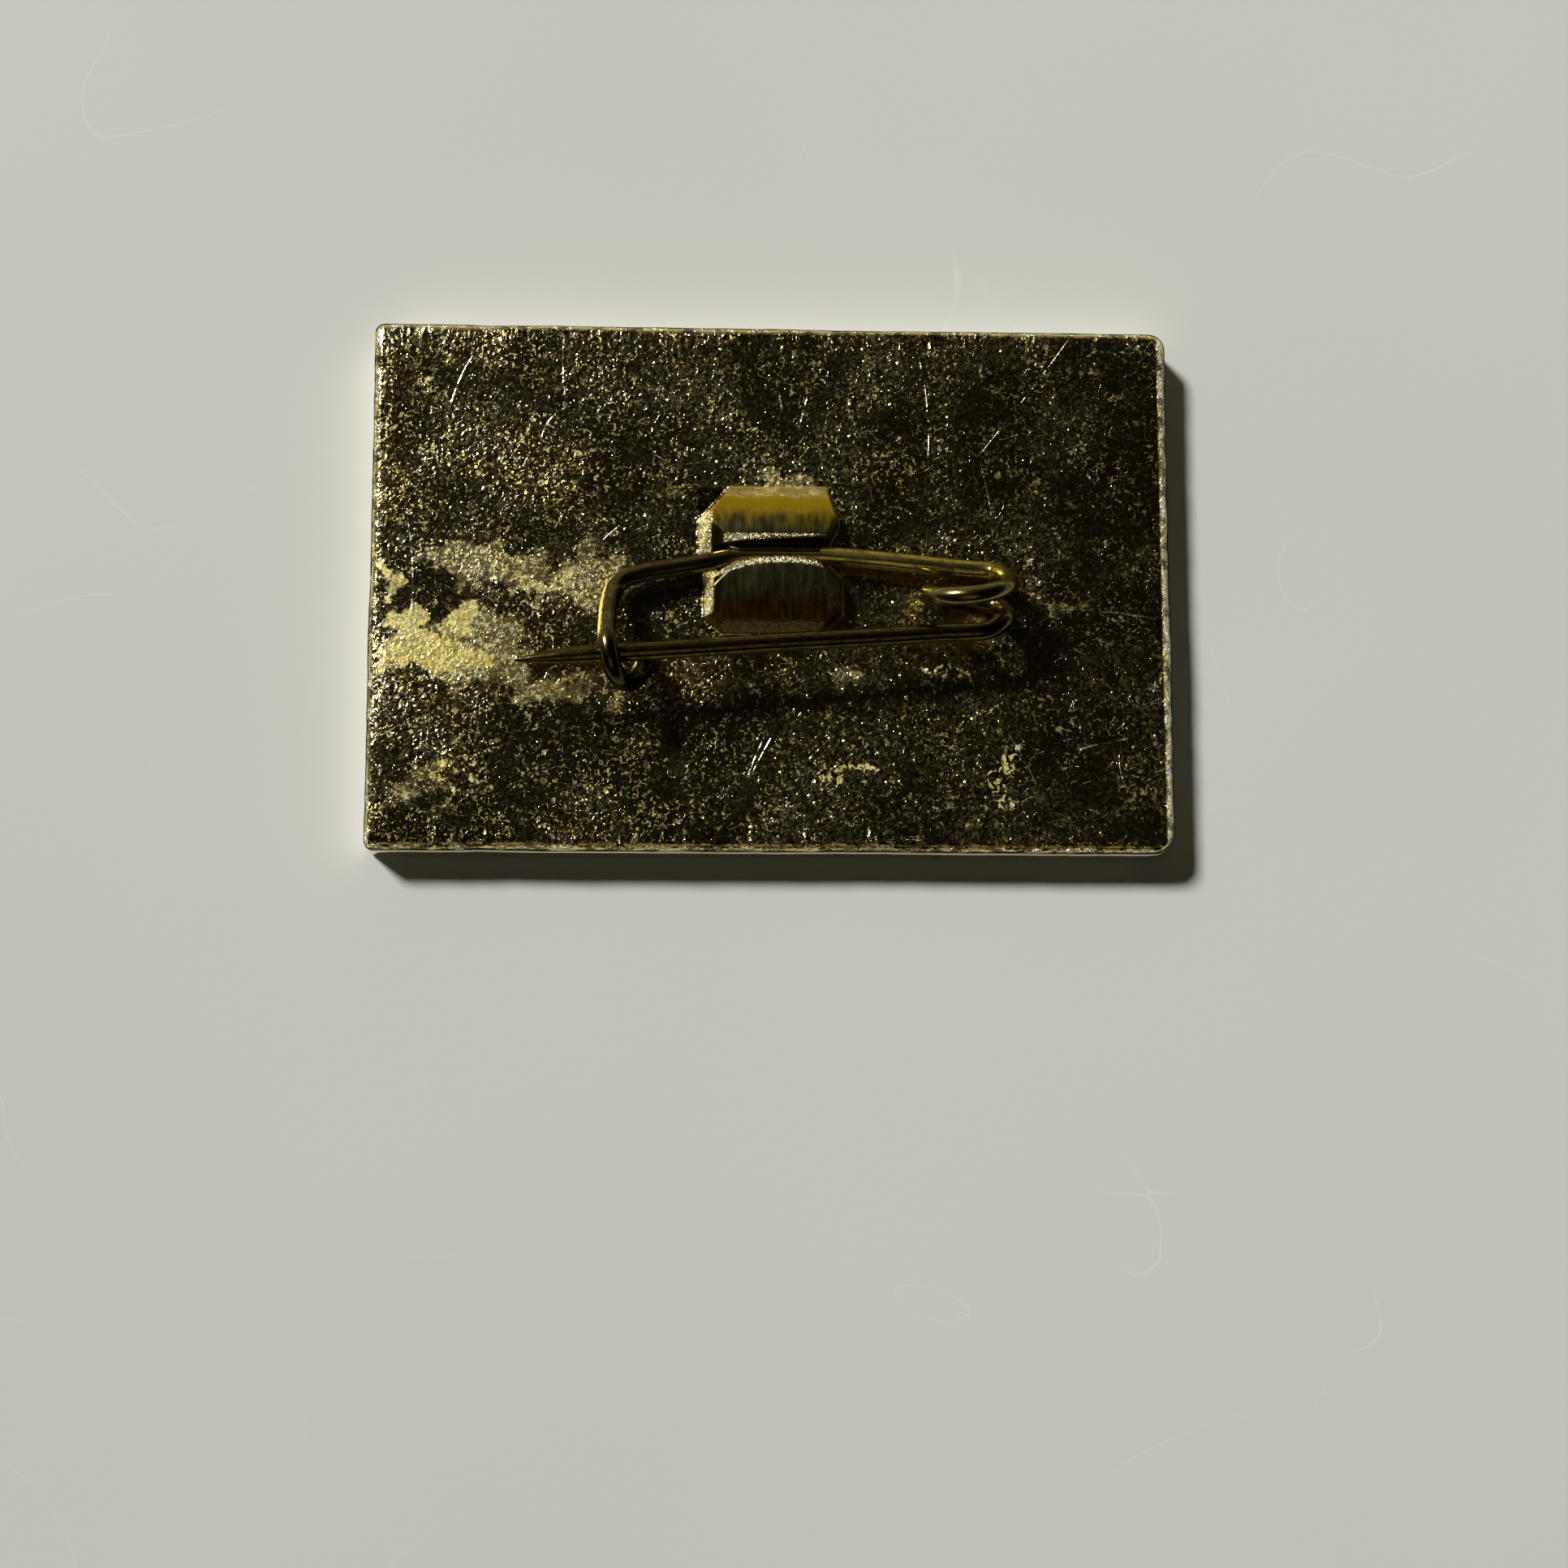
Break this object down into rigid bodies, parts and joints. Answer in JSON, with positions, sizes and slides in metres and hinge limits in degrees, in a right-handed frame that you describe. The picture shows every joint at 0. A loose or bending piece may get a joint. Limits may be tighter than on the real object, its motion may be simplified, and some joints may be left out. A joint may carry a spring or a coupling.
{
  "type": "enamel pin",
  "caption": "Rectangular gold-coloured badge with enamel cells on its front and a safety-pin wire with a coil and hook crimped to its back.",
  "frame": {"origin": "middle of the front rim's plane, on which the badge rests face down", "axes": "+Z is the outward normal of the back, +X runs along the long side towards the pin's coil, +Y along the short side"},
  "size_m": [0.03, 0.02, 0.0055],
  "materials": {
    "gold_plate": "gold-coloured coating over a rolled grain, tarnished and scratched",
    "bronze_wire": "drawn wire, darkened with age",
    "enamel_light_blue": "glossy cold enamel",
    "enamel_yellow": "glossy cold enamel",
    "enamel_white": "glossy cold enamel",
    "enamel_grey_blue": "glossy cold enamel",
    "enamel_slate": "glossy cold enamel",
    "enamel_green": "glossy cold enamel",
    "enamel_dark_green": "glossy cold enamel",
    "enamel_lake_blue": "glossy cold enamel",
    "enamel_deep_blue": "glossy cold enamel",
    "enamel_navy": "glossy cold enamel",
    "enamel_cream": "glossy cold enamel",
    "enamel_sand": "glossy cold enamel",
    "enamel_red": "glossy cold enamel"
  },
  "bodies": {
    "badge": {"base_plate": "gold_plate", "enamel_sky": "enamel_light_blue", "enamel_sun": "enamel_yellow", "enamel_cloud_large": "enamel_white", "enamel_cloud_small": "enamel_white", "enamel_far_mountain": "enamel_grey_blue", "enamel_far_snow": "enamel_white", "enamel_near_mountain": "enamel_slate", "enamel_near_snow": "enamel_white", "enamel_left_hill": "enamel_green", "enamel_right_hill": "enamel_dark_green", "enamel_lake_far_left": "enamel_lake_blue", "enamel_lake_far_right": "enamel_lake_blue", "enamel_lake_middle": "enamel_deep_blue", "enamel_lake_near": "enamel_navy", "enamel_main_sail": "enamel_cream", "enamel_jib": "enamel_sand", "enamel_hull": "enamel_red", "pin_fixed_arm": "bronze_wire", "pin_coil": "bronze_wire"},
    "needle": {"pin_needle": "bronze_wire"}
  },
  "joints": [
    {"name": "needle_hinge", "type": "hinge", "parent": "badge", "child": "needle", "pos_m": [0.00712, -0.0006, 0.00368], "axis": [0, 0.922, 0.3872], "range_deg": [-2, 60], "stiffness_Nm_per_rad": 0.02, "deforming": ["pin_coil"]}
  ]
}
